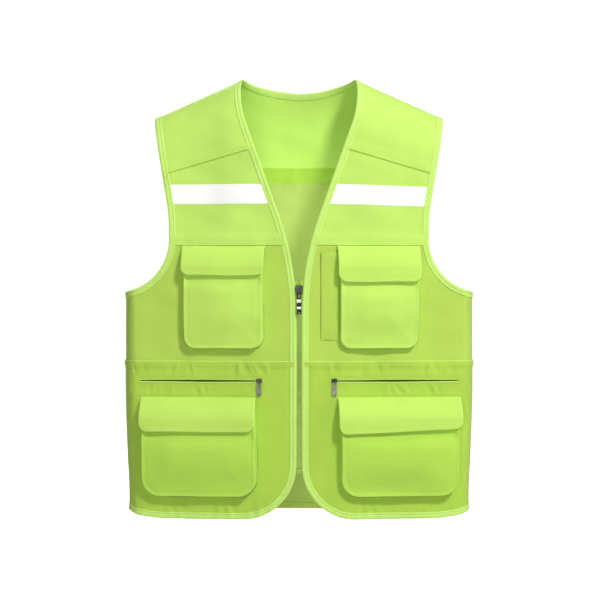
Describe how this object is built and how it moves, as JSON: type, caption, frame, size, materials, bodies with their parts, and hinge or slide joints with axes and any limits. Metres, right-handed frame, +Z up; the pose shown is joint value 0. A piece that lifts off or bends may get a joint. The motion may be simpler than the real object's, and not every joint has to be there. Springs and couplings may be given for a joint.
{
  "type": "high visibility vest",
  "caption": "Sleeveless high visibility work vest with a front zip, reflective tapes, flapped bellows pockets, a pen pocket and zipped pockets.",
  "frame": {"origin": "midway between the two neck points, where the shoulder ridges start", "axes": "+Z up, -Y to the front of the vest, +X to the left of the person who wears it"},
  "size_m": [0.5496, 0.148, 0.6891],
  "materials": {
    "solid_cloth": "fluorescent yellow-green woven polyester, matt",
    "light_cloth": "fluorescent yellow-green open knit, matt",
    "pocket_cloth": "fluorescent yellow-green woven polyester, matt",
    "binding": "folded yellow-green binding tape",
    "reflective_tape": "silver-white glass-bead reflective tape",
    "hook_tape": "stiff nylon hooks",
    "loop_tape": "brushed nylon loops",
    "zip_tape": "woven polyester tape",
    "zip_coil": "moulded nylon coil",
    "zip_plastic": "moulded nylon",
    "dark_metal": "gunmetal plated zinc",
    "bright_metal": "nickel plated zinc",
    "lining": "thin pocket lining"
  },
  "bodies": {
    "vest": {"armhole_binding_left": "binding", "armhole_binding_right": "binding", "back_hem_binding": "binding", "back_mesh_panel": "light_cloth", "back_neck_binding": "binding", "back_reflective_tape": "reflective_tape", "chest_loop_tape_left": "loop_tape", "chest_loop_tape_right": "loop_tape", "chest_panel_left": "solid_cloth", "chest_panel_right": "solid_cloth", "chest_pocket_face_left": "pocket_cloth", "chest_pocket_face_right": "pocket_cloth", "chest_pocket_gusset_left": "pocket_cloth", "chest_pocket_gusset_right": "pocket_cloth", "front_edge_binding_left": "binding", "front_edge_binding_right": "binding", "front_mesh_panel_left": "light_cloth", "front_mesh_panel_right": "light_cloth", "front_reflective_tape_left": "reflective_tape", "front_reflective_tape_right": "reflective_tape", "lower_loop_tape_left": "loop_tape", "lower_loop_tape_right": "loop_tape", "lower_panel_left": "solid_cloth", "lower_panel_right": "solid_cloth", "lower_pocket_face_left": "pocket_cloth", "lower_pocket_face_right": "pocket_cloth", "lower_pocket_gusset_left": "pocket_cloth", "lower_pocket_gusset_right": "pocket_cloth", "main_zip_insertion_pin": "zip_plastic", "main_zip_retaining_box": "zip_plastic", "main_zip_tape_left": "zip_tape", "main_zip_tape_right": "zip_tape", "main_zip_teeth_left": "zip_coil", "main_zip_teeth_right": "zip_coil", "main_zip_top_stops": "bright_metal", "pen_pocket": "pocket_cloth", "pocket_zip_tape_left": "zip_tape", "pocket_zip_tape_right": "zip_tape", "pocket_zip_teeth_left": "zip_coil", "pocket_zip_teeth_right": "zip_coil", "yoke": "solid_cloth", "zip_pocket_bag_left": "lining", "zip_pocket_bag_right": "lining"},
    "main_zip_slider": {"main_zip_slider": "dark_metal"},
    "main_zip_pull": {"main_zip_pull": "dark_metal"},
    "chest_flap_left": {"chest_flap_left": "pocket_cloth", "chest_hook_tape_left": "hook_tape"},
    "lower_flap_left": {"lower_flap_left": "pocket_cloth", "lower_hook_tape_left": "hook_tape"},
    "pocket_zip_slider_left": {"pocket_zip_slider_left": "bright_metal"},
    "pocket_zip_pull_left": {"pocket_zip_pull_left": "bright_metal"},
    "chest_flap_right": {"chest_flap_right": "pocket_cloth", "chest_hook_tape_right": "hook_tape"},
    "lower_flap_right": {"lower_flap_right": "pocket_cloth", "lower_hook_tape_right": "hook_tape"},
    "pocket_zip_slider_right": {"pocket_zip_slider_right": "bright_metal"},
    "pocket_zip_pull_right": {"pocket_zip_pull_right": "bright_metal"}
  },
  "joints": [
    {"name": "main_zip_slide", "type": "slide", "parent": "vest", "child": "main_zip_slider", "axis": [0, 0, -1], "range_m": [0, 0.265]},
    {"name": "main_zip_pull_swing", "type": "hinge", "parent": "main_zip_slider", "child": "main_zip_pull", "pos_m": [0, -0.0778, -0.3379], "axis": [-1, 0, 0], "range_deg": [0, 140]},
    {"name": "chest_flap_lift_left", "type": "hinge", "parent": "vest", "child": "chest_flap_left", "pos_m": [0.12298, -0.06161, -0.2635], "axis": [-0.995, -0.0995, 0], "range_deg": [0, 115]},
    {"name": "lower_flap_lift_left", "type": "hinge", "parent": "vest", "child": "lower_flap_left", "pos_m": [0.15532, -0.05837, -0.4985], "axis": [-0.995, -0.0995, 0], "range_deg": [0, 115]},
    {"name": "pocket_zip_slide_left", "type": "slide", "parent": "vest", "child": "pocket_zip_slider_left", "axis": [0.995, 0.0995, 0], "range_m": [0, 0.188]},
    {"name": "pocket_zip_pull_swing_left", "type": "hinge", "parent": "pocket_zip_slider_left", "child": "pocket_zip_pull_left", "pos_m": [0.05462, -0.07146, -0.4764], "axis": [-0.995, -0.0995, 0], "range_deg": [0, 135]},
    {"name": "chest_flap_lift_right", "type": "hinge", "parent": "vest", "child": "chest_flap_right", "pos_m": [-0.11651, -0.06225, -0.2635], "axis": [-0.995, 0.0995, 0], "range_deg": [0, 115]},
    {"name": "lower_flap_lift_right", "type": "hinge", "parent": "vest", "child": "lower_flap_right", "pos_m": [-0.15581, -0.05832, -0.4985], "axis": [-0.995, 0.0995, 0], "range_deg": [0, 115]},
    {"name": "pocket_zip_slide_right", "type": "slide", "parent": "vest", "child": "pocket_zip_slider_right", "axis": [-0.995, 0.0995, 0], "range_m": [0, 0.181]},
    {"name": "pocket_zip_pull_swing_right", "type": "hinge", "parent": "pocket_zip_slider_right", "child": "pocket_zip_pull_right", "pos_m": [-0.06158, -0.07076, -0.4764], "axis": [-0.995, 0.0995, 0], "range_deg": [0, 135]}
  ]
}
